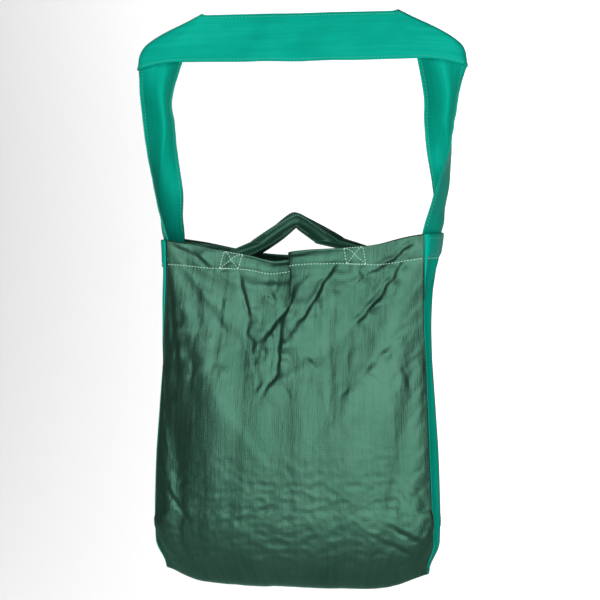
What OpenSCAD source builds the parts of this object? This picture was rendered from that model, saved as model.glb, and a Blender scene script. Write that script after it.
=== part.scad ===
// Rope storage bag with a shoulder sling.
// One long panel makes the front, the base and the back. A gusset closes each side.
// The sling is a flat band sewn into the tops of the gussets, and two short
// handles are box-stitched inside the hem of the panel.
// X runs across the front, the front faces -Y and +Z is up. The origin is the middle
// of the sling's underside, where the hung bag rests on its hook or shoulder.

/* [Bag] */
// Width of the panel between the gussets
panel_w = 400; // [320:5:500]
// Height from the hem's top edge to the base
bag_h = 500; // [400:5:620]
// Depth of the filled bag at its fullest
belly_d = 112; // [100:1:150]
// Radius of the turn from the walls into the base
base_r = 36; // [20:1:44]
// Depth of the hem round the mouth
hem_h = 36; // [25:1:48]
// Thickness of one wall, fabric and fold fullness together
cloth_t = 1.6; // [1.2:0.1:2.2]
// Thickness of the folded hem
hem_t = 2.6; // [2.2:0.1:3.2]

/* [Sling] */
// Width of the sling band and of the mouth from front to back
band_w = 70; // [60:1:90]
// Thickness of the two-ply band
band_t = 2; // [1.6:0.1:3]
// Height of the sling's underside above the hem
sling_rise = 250; // [215:5:340]
// How far the sling's folded corners stand outside the panel's sides
corner_out = 52; // [30:1:70]
// How far the top run's upper corners lie inside the panel's sides
shoulder_in = 47; // [20:1:70]
// Width that the gathered legs hang at under the corners
leg_top_w = 48; // [38:1:56]
// Length of band sewn inside each gusset
sewn_end = 33; // [20:1:34]

/* [Handles] */
// Width of the handle webbing
handle_w = 34; // [26:1:38]
// Thickness of the handle webbing
handle_t = 2.2; // [1.6:0.1:3]
// Distance between the middles of a handle's two ends
handle_span = 190; // [150:5:230]
// Height of a handle's top edge above the hem
handle_rise = 52; // [45:1:80]

/* [Stitching] */
// Width of a line of thread
thread_w = 0.9; // [0.6:0.1:1.4]
// Height that thread stands above the fabric
thread_t = 0.5; // [0.4:0.1:0.8]
// Distance of a line of stitches from the edge that it holds
stitch_in = 4; // [3:0.5:6]

/* [Hidden] */

panel_col = "#2f6f57";
band_col = "#16a385";
thread_col = "#bfe6d6";

gap = 0.3;                          // running clearance between bodies that move
hem_z = -sling_rise;                // top edge of the hem, and the bag's swing line
base_z = hem_z - bag_h;             // underside of the base
side_x = panel_w / 2;               // where the panel meets a gusset
gusset_out = side_x + cloth_t;      // outer face of a gusset
mouth_half = band_w / 2;            // half the mouth's depth
belly_half = belly_d / 2;           // half the belly's depth
straight = hem_h + 64;              // length of wall below the mouth that hangs straight
swell = 150;                        // length over which the wall swells to full depth
wall_steps = 24;                    // points down each swelling wall
turn_steps = 12;                    // points round each turn into the base

// Blend from 0 to 1 with level ends.
function ease(u) = let (c = min(1, max(0, u))) c * c * (3 - 2 * c);
function mix(a, b, u) = a + (b - a) * u;

// Half depth of the bag at v below the hem.
function half_depth(v) = mix(mouth_half, belly_half, ease((v - straight) / swell));

// The back half of the bag's outline, hem to base, taken in by inset all round.
function wall(inset) = let (full = swell + straight, turn_z = -bag_h + base_r) concat(
  [for (i = [0 : wall_steps]) let (v = full * i / wall_steps) [half_depth(v) - inset, -v]],
  [for (i = [0 : turn_steps]) let (a = 90 * i / turn_steps)
    [belly_half - base_r + (base_r - inset) * cos(a), turn_z - (base_r - inset) * sin(a)]]
);
// The inside of that wall, stepped in where the hem is folded.
inner_wall = concat(
  [[mouth_half - hem_t, 0], [mouth_half - hem_t, -hem_h], [mouth_half - cloth_t, -hem_h]],
  [for (p = wall(cloth_t)) if (p[1] < -hem_h) p]
);
function reversed(pts) = [for (i = [len(pts) - 1 : -1 : 0]) pts[i]];
function mirrored(pts) = [for (p = pts) [-p[0], p[1]]];
outer_outline = concat(wall(0), reversed(mirrored(wall(0))));
inner_outline = concat(inner_wall, reversed(mirrored(inner_wall)));

// Stand a YZ outline up and run it along X from x0 for a length.
module along_x(x0, length) {
  translate([x0, 0, hem_z]) rotate([90, 0, 90]) linear_extrude(length) children();
}

/* ---- bag ---- */

// Front, base and back in one length of fabric, with the hem folded inside the mouth.
module main_panel() {
  color(panel_col) along_x(-side_x, panel_w)
    polygon(concat(outer_outline, reversed(inner_outline)));
}

module gusset(x0) {
  color(band_col) along_x(x0, cloth_t) polygon(outer_outline);
}
module left_gusset() { gusset(-gusset_out); }
module right_gusset() { gusset(side_x); }

/* ---- sling ---- */

// Rings across the band from the right hem up to the middle of the top run.
// Each ring is [front or lower edge, back or upper edge, outward normal].
leg_x = gusset_out + thread_t + gap + band_t / 2; // middle of the leg beside the gusset
leg_foot = 1;                                   // the leg starts this far above the hem
twist_from = 66;                                // the leg hangs square this far up
leg_top_z = -45;                                // where the leg meets the fold
fold_lap = 4;                                   // half the gap between run and leg
leg_y = 2 * fold_lap;                           // the leg hangs behind the run
corner = [side_x + corner_out, fold_lap, -14];  // outer, lower end of the corner fold
shoulder = [side_x - shoulder_in, fold_lap, band_w - 2]; // inner, upper end of the fold
leg_top_x = corner[0] - leg_top_w / 2 - 3;
leg_steps = 14;
fold_steps = 6;

fold_dir = [-(shoulder - corner)[2], 0, (shoulder - corner)[0]] / norm(shoulder - corner);

function leg_ring(u) = let (
    z = mix(hem_z + leg_foot, leg_top_z, u),
    t = ease((z - hem_z - twist_from) / (leg_top_z - hem_z - twist_from)),
    turn = 90 + 90 * t,
    half = mix(band_w, leg_top_w, t) / 2,
    across = [cos(turn), sin(turn), 0],
    mid = [mix(leg_x, leg_top_x, t), leg_y * t, z])
  [mid - across * half, mid + across * half, [sin(turn), -cos(turn), 0]];
function fold_ring(a) = let (n = [0, cos(a), 0] - fold_dir * sin(a))
  [corner + n * fold_lap, shoulder + n * fold_lap, n];
function run_ring(x_low, x_high) = [[x_low, 0, 0], [x_high, 0, band_w], [0, -1, 0]];
right_rings = concat(
  [for (i = [0 : leg_steps]) leg_ring(i / leg_steps)],
  [for (i = [0 : fold_steps]) fold_ring(180 * i / fold_steps)],
  [run_ring(corner[0] - 32, shoulder[0] - 2), run_ring(shoulder[0] - 2, shoulder[0] - 3)]
);
function flip(p) = [-p[0], p[1], p[2]];
band_rings = concat(right_rings, [for (i = [len(right_rings) - 1 : -1 : 0])
  let (r = right_rings[i]) [flip(r[0]), flip(r[1]), flip(r[2])]]);

// A strip along the whole band, between two shares of its width and two heights.
function ring_point(r, share, height) = mix(r[0], r[1], share) + r[2] * height;
module band_strip(share_0, share_1, low, high) {
  n = len(band_rings);
  pts = [for (r = band_rings, c = [[share_0, low], [share_1, low], [share_1, high], [share_0, high]])
    ring_point(r, c[0], c[1])];
  sides = [for (i = [0 : n - 2], j = [0 : 3], half = [0, 1])
    let (a = 4 * i + j, b = 4 * i + (j + 1) % 4)
    half == 0 ? [a, b, b + 4] : [a, b + 4, a + 4]];
  caps = [[3, 2, 1, 0], [for (j = [0 : 3]) 4 * (n - 1) + j]];
  polyhedron(pts, concat(sides, caps), convexity = 6);
}
module band_thread(from_edge) {
  share = from_edge / band_w;
  color(thread_col)
    band_strip(share, share + thread_w / band_w, band_t / 2, band_t / 2 + thread_t);
}

module sling() { color(band_col) band_strip(0, 1, -band_t / 2, band_t / 2); }
module sling_lower_edge_stitch() { band_thread(stitch_in); }
module sling_upper_edge_stitch() { band_thread(band_w - stitch_in); }

// The end of the band, sewn flat inside the gusset's hem.
end_half = mouth_half - hem_t - gap;
module sling_end(x0) {
  color(band_col) translate([x0, -end_half, hem_z - sewn_end])
    cube([band_t, 2 * end_half, sewn_end]);
}
module left_sling_end() { sling_end(-side_x); }
module right_sling_end() { sling_end(side_x - band_t); }

/* ---- handles ---- */

handle_y = mouth_half - hem_t - handle_t / 2;   // middle of the webbing's thickness
foot_z = hem_z + 1;                             // a loop starts this far above the hem
top_flat = 2 * handle_w;                        // length of a loop's level grip
handle_end_h = hem_h - 6;                       // length of webbing sewn to the hem
end_drop = 3;                                   // the sewn length starts this far down

// Slanted legs that meet in a level grip, drawn standing on the hem.
module loop_outline() {
  half = handle_span / 2;
  rise = handle_rise - 1;
  difference() {
    polygon([[-half - handle_w / 2, 0], [-top_flat / 2, rise],
      [top_flat / 2, rise], [half + handle_w / 2, 0]]);
    polygon([[-half + handle_w / 2, -1], [-half + handle_w / 2, 0],
      [-top_flat / 2 + 6, rise - handle_w + 4], [top_flat / 2 - 6, rise - handle_w + 4],
      [half - handle_w / 2, 0], [half - handle_w / 2, -1]]);
  }
}
module upright(y_mid, z0, thick) {
  translate([0, y_mid + thick / 2, z0]) rotate([90, 0, 0]) linear_extrude(thick) children();
}
module handle(side) { color(panel_col) upright(side * handle_y, foot_z, handle_t) loop_outline(); }
module handle_thread(side) {
  face = side * (handle_y + handle_t / 2 + thread_t / 2);
  grip = top_flat - 12;
  rows = [stitch_in, handle_w - 4 - stitch_in];
  color(thread_col) for (row = rows)
    upright(face, foot_z + handle_rise - 1 - row, thread_t) translate([-grip / 2 , -thread_w / 2])
      square([grip, thread_w]);
}
module front_handle() { handle(-1); }
module back_handle() { handle(1); }
module front_handle_stitch() { handle_thread(-1); }
module back_handle_stitch() { handle_thread(1); }

// Where the webbing lies sewn against the inside of the hem.
module handle_end(side, across) {
  color(panel_col) upright(side * handle_y, hem_z - end_drop - handle_end_h, handle_t)
    translate([across * handle_span / 2 - handle_w / 2, 0]) square([handle_w, handle_end_h]);
}
module front_left_handle_end() { handle_end(-1, -1); }
module front_right_handle_end() { handle_end(-1, 1); }
module back_left_handle_end() { handle_end(1, -1); }
module back_right_handle_end() { handle_end(1, 1); }

/* ---- stitching on the bag ---- */

box_w = handle_w - 4;
box_h = hem_h - 4;

// A stitched rectangle with its two diagonals.
module box_outline() {
  difference() {
    square([box_w, box_h], center = true);
    square([box_w - 2 * thread_w, box_h - 2 * thread_w], center = true);
  }
  reach = norm([box_w, box_h]) - 2 * thread_w;
  for (s = [-1, 1]) rotate(s * atan2(box_h, box_w)) square([reach, thread_w], center = true);
}
module box_stitch(side, across) {
  color(thread_col) upright(side * (mouth_half + thread_t / 2), hem_z - hem_h / 2, thread_t)
    translate([across * handle_span / 2, 0]) box_outline();
}
module front_left_box_stitch() { box_stitch(-1, -1); }
module front_right_box_stitch() { box_stitch(-1, 1); }
module back_left_box_stitch() { box_stitch(1, -1); }
module back_right_box_stitch() { box_stitch(1, 1); }

// One line of thread along the lower edge of the hem, on all four sides.
hem_line_z = hem_z - hem_h + 2;
module wall_hem_stitch(side) {
  color(thread_col) upright(side * (mouth_half + thread_t / 2), hem_line_z - thread_w, thread_t)
    translate([-side_x, 0]) square([panel_w, thread_w]);
}
module gusset_hem_stitch(x0) {
  color(thread_col) translate([x0, -mouth_half, hem_line_z - thread_w])
    cube([thread_t, band_w, thread_w]);
}
module front_hem_stitch() { wall_hem_stitch(-1); }
module back_hem_stitch() { wall_hem_stitch(1); }
module left_hem_stitch() { gusset_hem_stitch(-gusset_out - thread_t); }
module right_hem_stitch() { gusset_hem_stitch(gusset_out); }

// The line that holds the sling's end, just under the gusset's top edge, on its inside.
module sling_seam(x0) {
  color(thread_col) translate([x0, -end_half + 2, hem_z - stitch_in - thread_w])
    cube([thread_t, 2 * end_half - 4, thread_w]);
}
module left_sling_seam_stitch() { sling_seam(-side_x + band_t); }
module right_sling_seam_stitch() { sling_seam(side_x - band_t - thread_t); }

// The line down each side, just inside the edge of the gusset, from hem to base.
seam_in = 3;
module seam_outline(side) {
  scale_x = side > 0 ? 1 : 0;
  mirror([1 - scale_x, 0]) difference() {
    polygon(wall(seam_in));
    polygon(wall(seam_in + thread_w));
    translate([-belly_d, -hem_h]) square([2 * belly_d, hem_h + 1]);
    translate([-belly_d, -2 * bag_h]) square([belly_d + belly_half - base_r, 2 * bag_h]);
  }
}
module seam_stitch(side, x0) { color(thread_col) along_x(x0, thread_t) seam_outline(side); }
module front_left_seam_stitch() { seam_stitch(-1, -gusset_out - thread_t); }
module front_right_seam_stitch() { seam_stitch(-1, gusset_out); }
module back_left_seam_stitch() { seam_stitch(1, -gusset_out - thread_t); }
module back_right_seam_stitch() { seam_stitch(1, gusset_out); }

main_panel();
left_gusset();
right_gusset();
sling();
sling_lower_edge_stitch();
sling_upper_edge_stitch();
left_sling_end();
right_sling_end();
left_sling_seam_stitch();
right_sling_seam_stitch();
front_handle();
back_handle();
front_handle_stitch();
back_handle_stitch();
front_left_handle_end();
front_right_handle_end();
back_left_handle_end();
back_right_handle_end();
front_left_box_stitch();
front_right_box_stitch();
back_left_box_stitch();
back_right_box_stitch();
front_hem_stitch();
back_hem_stitch();
left_hem_stitch();
right_hem_stitch();
front_left_seam_stitch();
front_right_seam_stitch();
back_left_seam_stitch();
back_right_seam_stitch();
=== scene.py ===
# %% [markdown]
# # A rope storage bag with a shoulder sling
# The bag is sewn from four kinds of piece: one long panel of dark green satin nylon
# that is the front, the base and the back; two teal side gussets; a wide teal sling
# from gusset to gusset; and two short handles box-stitched inside the hem.
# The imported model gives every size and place. Here each plain solid is replaced by
# cloth that hangs, creases and is stitched as the real one is.

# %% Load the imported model
import bmesh
import bpy
import math
import random
import numpy as np
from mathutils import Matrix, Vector


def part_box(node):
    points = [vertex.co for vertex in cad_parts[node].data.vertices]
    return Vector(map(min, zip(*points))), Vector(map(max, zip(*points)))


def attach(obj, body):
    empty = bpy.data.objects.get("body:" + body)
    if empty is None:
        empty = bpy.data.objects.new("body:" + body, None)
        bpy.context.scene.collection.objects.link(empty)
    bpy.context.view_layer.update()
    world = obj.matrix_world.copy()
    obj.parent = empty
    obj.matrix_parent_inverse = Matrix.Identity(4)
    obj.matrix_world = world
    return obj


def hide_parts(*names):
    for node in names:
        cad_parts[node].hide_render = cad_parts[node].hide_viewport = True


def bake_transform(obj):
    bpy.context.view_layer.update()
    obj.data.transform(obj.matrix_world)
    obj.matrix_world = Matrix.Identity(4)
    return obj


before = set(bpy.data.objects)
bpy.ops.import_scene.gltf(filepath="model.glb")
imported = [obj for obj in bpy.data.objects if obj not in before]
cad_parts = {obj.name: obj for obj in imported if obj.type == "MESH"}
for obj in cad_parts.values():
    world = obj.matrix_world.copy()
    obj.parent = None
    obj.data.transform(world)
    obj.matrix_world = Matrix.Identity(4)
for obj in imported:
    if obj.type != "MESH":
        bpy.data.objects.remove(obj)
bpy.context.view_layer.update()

# %% Sizes read from the model
MM = 0.001
panel_low, panel_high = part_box("main_panel")
SIDE = panel_high.x                       # half the panel's width
HEM_Z = panel_high.z                      # top of the hem
BASE_Z = panel_low.z                      # underside of the base
BELLY = panel_high.y                      # half the depth at the fullest part
_, thread_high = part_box("right_hem_stitch")
MOUTH = thread_high.y                     # half the depth at the mouth
HEM_LINE = HEM_Z - thread_high.z          # depth of the hem's stitch line
HEIGHT = HEM_Z - BASE_Z
end_low, end_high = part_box("front_right_handle_end")
STRAP_W = end_high.x - end_low.x          # width of the handle webbing
STRAP_X = (end_high.x + end_low.x) / 2    # middle of a handle's end
_, sling_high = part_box("sling")
CORNER_X = sling_high.x                   # outer end of the sling's corner fold
SLING_TOP = sling_high.z
SLING_W = 2 * MOUTH                       # the band is as wide as the mouth is deep
print("panel", 2 * SIDE, "x", HEIGHT, " band", SLING_W, " webbing", STRAP_W)

# %% [markdown]
# ## Camera, light and backdrop
# The camera comes first, so that every later step can be looked at. The bag is seen
# from a little to its right and a little above. One wide soft light stands in front of
# the bag: satin cloth shows its weave's gloss where it faces the light and falls to
# dark green where it turns under. A second light reaches only the backdrop, which is
# one pale sheet, floor and wall.

# %% Camera
AZIMUTH = math.radians(18.5)
ELEVATION = math.radians(3.5)
DISTANCE = 3.1
LENS = 130
aim = Vector((0.003, 0, (SLING_TOP + BASE_Z) / 2 - 0.002))
back = Vector((math.sin(AZIMUTH) * math.cos(ELEVATION),
               -math.cos(AZIMUTH) * math.cos(ELEVATION), math.sin(ELEVATION)))
camera = bpy.data.objects.new("camera", bpy.data.cameras.new("camera"))
bpy.context.collection.objects.link(camera)
camera.location = aim + back * DISTANCE
camera.rotation_euler = (-back).to_track_quat("-Z", "Y").to_euler()
camera.data.lens = LENS
camera.data.clip_end = 50
bpy.context.scene.camera = camera
print("camera at", [round(v, 3) for v in camera.location])


# %% Soft lights and a pale surround
def soft_light(name, place, target, size, power):
    data = bpy.data.lights.new(name, "AREA")
    data.shape = "RECTANGLE"
    data.size, data.size_y = size
    data.energy = power
    light = bpy.data.objects.new(name, data)
    light.location = place
    light.rotation_euler = (Vector(target) - Vector(place)).to_track_quat("-Z", "Y").to_euler()
    bpy.context.collection.objects.link(light)
    return light


soft_light("key", (0.25, -2.4, -0.27), (0, 0, -0.3), (3.3, 1.9), 84)
soft_light("backdrop", (0, 1.6, 1.3), (0, 4.0, -0.5), (3.5, 0.8), 125)
world = bpy.data.worlds.new("studio")
world.use_nodes = True
world.node_tree.nodes["Background"].inputs["Color"].default_value = (1, 1, 1, 1)
world.node_tree.nodes["Background"].inputs["Strength"].default_value = 0.1
bpy.context.scene.world = world
bpy.context.scene.view_settings.view_transform = "Standard"


# %% Backdrop
def deselect():
    bpy.ops.object.select_all(action="DESELECT")


def activate(obj):
    deselect()
    obj.select_set(True)
    bpy.context.view_layer.objects.active = obj


FLOOR_DROP = 0.60        # the bag hangs this far above the floor
deselect()
bpy.ops.mesh.primitive_plane_add(size=8, location=(0, 0, BASE_Z - FLOOR_DROP))
floor = bpy.context.active_object
floor.name = "floor"
bpy.ops.object.mode_set(mode="EDIT")
bpy.ops.mesh.select_all(action="DESELECT")
bpy.ops.object.mode_set(mode="OBJECT")
for edge in floor.data.edges:
    edge.select = all(floor.data.vertices[i].co.y > 0 for i in edge.vertices)
bpy.ops.object.mode_set(mode="EDIT")
bpy.ops.mesh.extrude_region_move(TRANSFORM_OT_translate={"value": (0, 0, 6)})
bpy.ops.object.mode_set(mode="OBJECT")
bend = floor.modifiers.new("bend", "BEVEL")
bend.width, bend.segments = 1.5, 16
bpy.ops.object.modifier_apply(modifier="bend")
bpy.ops.object.shade_smooth()
print("floor and wall", len(floor.data.polygons), "faces")

# %% [markdown]
# ## Fabrics
# All three fabrics are built by one function. The cloth's own flat coordinates, in
# metres, are its UV map, so the weave follows every fold. Two crossed waves give the
# weave's relief, long stretched noise gives the streaks of a light nylon, and broad
# noise varies colour and gloss as handling does. The panel is satin: part of its
# gloss takes the colour of the threads, which a share of metallic gives.


# %% Helpers that build a material
def node(tree, kind, place=(0, 0), **settings):
    made = tree.nodes.new(kind)
    made.location = place
    for key, value in settings.items():
        setattr(made, key, value)
    return made


def stretched(tree, scale, place):
    """The cloth's flat coordinates, scaled along and across."""
    uv = node(tree, "ShaderNodeUVMap", (place[0] - 400, place[1]), uv_map="flat")
    mapping = node(tree, "ShaderNodeMapping", place)
    mapping.inputs["Scale"].default_value = scale
    tree.links.new(uv.outputs["UV"], mapping.inputs["Vector"])
    return mapping.outputs["Vector"]


def noise_of(tree, vector, scale, detail, place, rough=0.6):
    made = node(tree, "ShaderNodeTexNoise", place)
    made.inputs["Scale"].default_value = scale
    made.inputs["Detail"].default_value = detail
    made.inputs["Roughness"].default_value = rough
    tree.links.new(vector, made.inputs["Vector"])
    return made.outputs["Fac"]


def ramp_of(tree, value, stops, place):
    made = node(tree, "ShaderNodeValToRGB", place)
    ramp = made.color_ramp
    while len(ramp.elements) < len(stops):
        ramp.elements.new(0.5)
    for element, (at, colour) in zip(ramp.elements, stops):
        element.position = at
        element.color = (*colour, 1)
    tree.links.new(value, made.inputs["Fac"])
    return made.outputs["Color"]


def sum_of(tree, a, b, share, place):
    """a plus share times b."""
    made = node(tree, "ShaderNodeMath", place, operation="MULTIPLY_ADD")
    made.inputs[1].default_value = share
    tree.links.new(b, made.inputs[0])
    tree.links.new(a, made.inputs[2])
    return made.outputs["Value"]


# %% Woven nylon
WEAVE = 2200           # threads to a metre


def woven(name, dark, mid, light, rough, metallic, gloss=0.5, relief=0.6, crinkled=4.0):
    material = bpy.data.materials.new(name)
    material.use_nodes = True
    tree = material.node_tree
    shader = tree.nodes["Principled BSDF"]
    streaks = noise_of(tree, stretched(tree, (190, 9, 1), (-1300, 300)), 1, 4, (-1000, 300))
    fine = noise_of(tree, stretched(tree, (1500, 900, 1), (-1300, 600)), 1, 2, (-1000, 600))
    broad = noise_of(tree, stretched(tree, (7, 4, 1), (-1300, 0)), 1, 4, (-1000, 0))
    both = node(tree, "ShaderNodeMapRange", (-700, 200))
    both.inputs["From Min"].default_value = 0.55
    both.inputs["From Max"].default_value = 1.45
    mixed = sum_of(tree, broad, streaks, 0.55, (-900, 200))
    mixed = sum_of(tree, mixed, fine, 0.45, (-800, 320))
    tree.links.new(mixed, both.inputs["Value"])
    worn = both.outputs["Result"]
    colour = ramp_of(tree, worn, [(0.15, dark), (0.5, mid), (0.85, light)], (-540, 300))
    tree.links.new(colour, shader.inputs["Base Color"])
    roughness = node(tree, "ShaderNodeMapRange", (-540, 0))
    roughness.inputs["To Min"].default_value = rough - 0.05
    roughness.inputs["To Max"].default_value = rough + 0.07
    tree.links.new(worn, roughness.inputs["Value"])
    tree.links.new(roughness.outputs["Result"], shader.inputs["Roughness"])
    shader.inputs["Metallic"].default_value = metallic
    shader.inputs["Specular IOR Level"].default_value = gloss
    shader.inputs["Specular Tint"].default_value = (*((c / max(light)) ** 0.6 for c in light), 1)
    shader.inputs["Sheen Weight"].default_value = 0.03
    shader.inputs["Sheen Roughness"].default_value = 0.4
    waves = []
    for direction, y in (("X", -300), ("Y", -560)):
        wave = node(tree, "ShaderNodeTexWave", (-1000, y), bands_direction=direction)
        wave.inputs["Scale"].default_value = WEAVE / 20
        wave.inputs["Distortion"].default_value = 0.6
        wave.inputs["Detail"].default_value = 1
        tree.links.new(stretched(tree, (1, 1, 1), (-1300, y)), wave.inputs["Vector"])
        waves.append(wave.outputs["Fac"])
    weave = sum_of(tree, waves[0], waves[1], 1.0, (-760, -400))
    height = sum_of(tree, streaks, weave, 0.12, (-660, -400))
    height = sum_of(tree, height, fine, 0.4, (-600, -520))
    folds = noise_of(tree, stretched(tree, (64, 15, 1), (-1300, -820)), 1, 7, (-1000, -820), 0.62)
    centred = node(tree, "ShaderNodeMath", (-820, -820), operation="SUBTRACT")
    centred.inputs[1].default_value = 0.5
    tree.links.new(folds, centred.inputs[0])
    ridge = node(tree, "ShaderNodeMath", (-700, -820), operation="ABSOLUTE")
    tree.links.new(centred.outputs["Value"], ridge.inputs[0])
    height = sum_of(tree, height, ridge.outputs["Value"], crinkled, (-480, -520))
    bump = node(tree, "ShaderNodeBump", (-320, -400))
    bump.inputs["Strength"].default_value = relief
    bump.inputs["Distance"].default_value = 0.5 * MM
    tree.links.new(height, bump.inputs["Height"])
    tree.links.new(bump.outputs["Normal"], shader.inputs["Normal"])
    return material


panel_nylon = woven("satin_green", (0.021, 0.069, 0.044), (0.033, 0.092, 0.063),
                    (0.047, 0.118, 0.084), rough=0.35, metallic=0.8, gloss=0.2)
band_nylon = woven("teal_cloth", (0.001, 0.23, 0.16), (0.001, 0.30, 0.215),
                   (0.005, 0.37, 0.275), rough=0.55, metallic=0.1, gloss=0.2, crinkled=3.0)
# The webbing's colour is darker than the panel's green. That extra darkness is painted shade, standing in for
# the shade on the folded strap.
webbing_with_painted_shade = woven("green_webbing_painted_shade", (0.008, 0.036, 0.022), (0.014, 0.055, 0.035),
                    (0.026, 0.085, 0.055), rough=0.45, metallic=0.4)


# %% Thread
def thread_material(name, colour):
    material = bpy.data.materials.new(name)
    material.use_nodes = True
    tree = material.node_tree
    shader = tree.nodes["Principled BSDF"]
    place = node(tree, "ShaderNodeTexCoord", (-1100, 0)).outputs["Object"]
    fray = noise_of(tree, place, 900, 3, (-800, 0))
    shade = ramp_of(tree, fray, [(0.3, tuple(0.75 * c for c in colour)), (0.7, colour)], (-560, 0))
    tree.links.new(shade, shader.inputs["Base Color"])
    bump = node(tree, "ShaderNodeBump", (-320, -250))
    bump.inputs["Strength"].default_value = 0.5
    bump.inputs["Distance"].default_value = 0.1 * MM
    tree.links.new(fray, bump.inputs["Height"])
    tree.links.new(bump.outputs["Normal"], shader.inputs["Normal"])
    shader.inputs["Roughness"].default_value = 0.55
    shader.inputs["Sheen Weight"].default_value = 0.2
    return material


pale_thread = thread_material("pale_thread", (0.5, 0.8, 0.66))
teal_thread = thread_material("teal_thread", (0.02, 0.46, 0.31))
green_thread = thread_material("green_thread", (0.12, 0.28, 0.2))
seam_thread = thread_material("seam_thread", (0.02, 0.09, 0.06))
print("materials", [m.name for m in bpy.data.materials])

# %% [markdown]
# ## Cloth as a grid
# Every cloth piece starts as a grid of points: rows down the cloth, columns across it.
# A grid is easy to weld to its neighbour, to hang in a simulation, and then to refine,
# crease and stitch, because each point keeps its place on the flat cloth.


# %% Grid helpers
def unit(v):
    return v / np.maximum(np.linalg.norm(v, axis=-1, keepdims=True), 1e-12)


def normals_of(grid):
    """Unit normals of a rows x columns x 3 grid, from its rows crossed with its columns."""
    return unit(np.cross(np.gradient(grid, axis=0), np.gradient(grid, axis=1)))


def along(grid, places):
    """The grid read at fractional rows, on a smooth curve through its rows."""
    last = len(grid) - 1
    i = np.clip(np.floor(places).astype(int), 0, last - 1)
    t = (places - i).reshape(-1, *[1] * (grid.ndim - 1))
    before, after = grid[np.maximum(i - 1, 0)], grid[np.minimum(i + 2, last)]
    p0, p1 = grid[i], grid[i + 1]
    before = np.where((i == 0).reshape(t.shape), 2 * p0 - p1, before)
    after = np.where((i == last - 1).reshape(t.shape), 2 * p1 - p0, after)
    return 0.5 * (2 * p0 + (p1 - before) * t + (2 * before - 5 * p0 + 4 * p1 - after) * t**2
                  + (3 * p0 - before - 3 * p1 + after) * t**3)


def refined(grid, rows, columns):
    """The same surface on a finer grid; rows and columns are places on the old one."""
    fine = along(grid, np.asarray(rows, float))
    return along(fine.swapaxes(0, 1), np.asarray(columns, float)).swapaxes(0, 1)


def read_at(grid, row, column):
    """The grid read between its four nearest points."""
    i = np.clip(np.floor(row).astype(int), 0, len(grid) - 2)
    j = np.clip(np.floor(column).astype(int), 0, grid.shape[1] - 2)
    s, t = (row - i)[..., None], (column - j)[..., None]
    upper = grid[i, j] * (1 - t) + grid[i, j + 1] * t
    lower = grid[i + 1, j] * (1 - t) + grid[i + 1, j + 1] * t
    return upper * (1 - s) + lower * s


def ease(u):
    """A smooth step from 0 to 1 as u goes from 0 to 1."""
    u = np.clip(u, 0, 1)
    return u * u * (3 - 2 * u)


def grid_object(name, grid, flat, material):
    """A mesh from a grid, with the flat cloth's coordinates in metres as its UV map."""
    rows, columns = grid.shape[:2]
    index = np.arange(rows * columns).reshape(rows, columns)
    quads = np.stack([index[:-1, :-1], index[1:, :-1], index[1:, 1:], index[:-1, 1:]], -1)
    mesh = bpy.data.meshes.new(name)
    mesh.from_pydata(grid.reshape(-1, 3).tolist(), [], quads.reshape(-1, 4).tolist())
    uv = mesh.uv_layers.new(name="flat")
    corner = np.empty(len(mesh.loops), int)
    mesh.loops.foreach_get("vertex_index", corner)
    uv.data.foreach_set("uv", flat.reshape(-1, 2)[corner].astype(np.float32).ravel())
    mesh.materials.append(material)
    obj = bpy.data.objects.new(name, mesh)
    bpy.context.collection.objects.link(obj)
    activate(obj)
    bpy.ops.object.shade_smooth()
    return obj


def lattice_noise(u, v, seed):
    """Smooth noise from -1 to 1 over a square lattice, the same each run."""
    table = np.random.default_rng(seed).uniform(0, 2 * np.pi, (64, 64))
    i, j = np.floor(u).astype(int), np.floor(v).astype(int)
    fu, fv = u - i, v - j
    wu, wv = ease(fu), ease(fv)
    total = 0
    for di in (0, 1):
        for dj in (0, 1):
            turn = table[(i + di) % 64, (j + dj) % 64]
            slope = np.cos(turn) * (fu - di) + np.sin(turn) * (fv - dj)
            total = total + slope * (wu if di else 1 - wu) * (wv if dj else 1 - wv)
    return 1.5 * total


# %% [markdown]
# ## Hanging the bag
# The panel and the two gussets are welded into one open bag at its true size, with the
# model's outline. Cloth simulation then hangs it from its gusset tops, where the sling
# holds it. The cloth is let out a little, so it has the slack that a sewn bag has, and
# a light pressure below the hem stands for the air and the rope that round it out.

# %% The bag's outline
STRAIGHT = 100 * MM       # wall below the mouth that hangs straight
SWELL = 150 * MM          # length over which it swells
TURN = 58 * MM            # radius into the base
EDGE_BELLY = 0.86 * BELLY # depth at the side seams, where the gusset holds it in


def half_depth(v, full):
    return MOUTH + (full - MOUTH) * ease((v - STRAIGHT) / SWELL)


CUT = 0.945 * HEIGHT       # the walls are cut this tall, and hang to full height


def outline(count_wall, count_base, full):
    """Points (y, z) down the front wall, across the base and up the back wall."""
    v = np.linspace(0, CUT, count_wall + 1)
    turn = np.clip((v - (CUT - TURN)) / TURN, 0, 1)
    y = half_depth(v, full) - TURN * (1 - np.sqrt(1 - turn**2)) * 0.7
    front = np.stack([-y, HEM_Z - v], -1)
    base_y = np.linspace(-y[-1], y[-1], count_base + 1)[1:-1]
    base = np.stack([base_y, np.full_like(base_y, HEM_Z - CUT)], -1)
    return np.concatenate([front, base, (front * (-1, 1))[::-1]])


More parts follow.
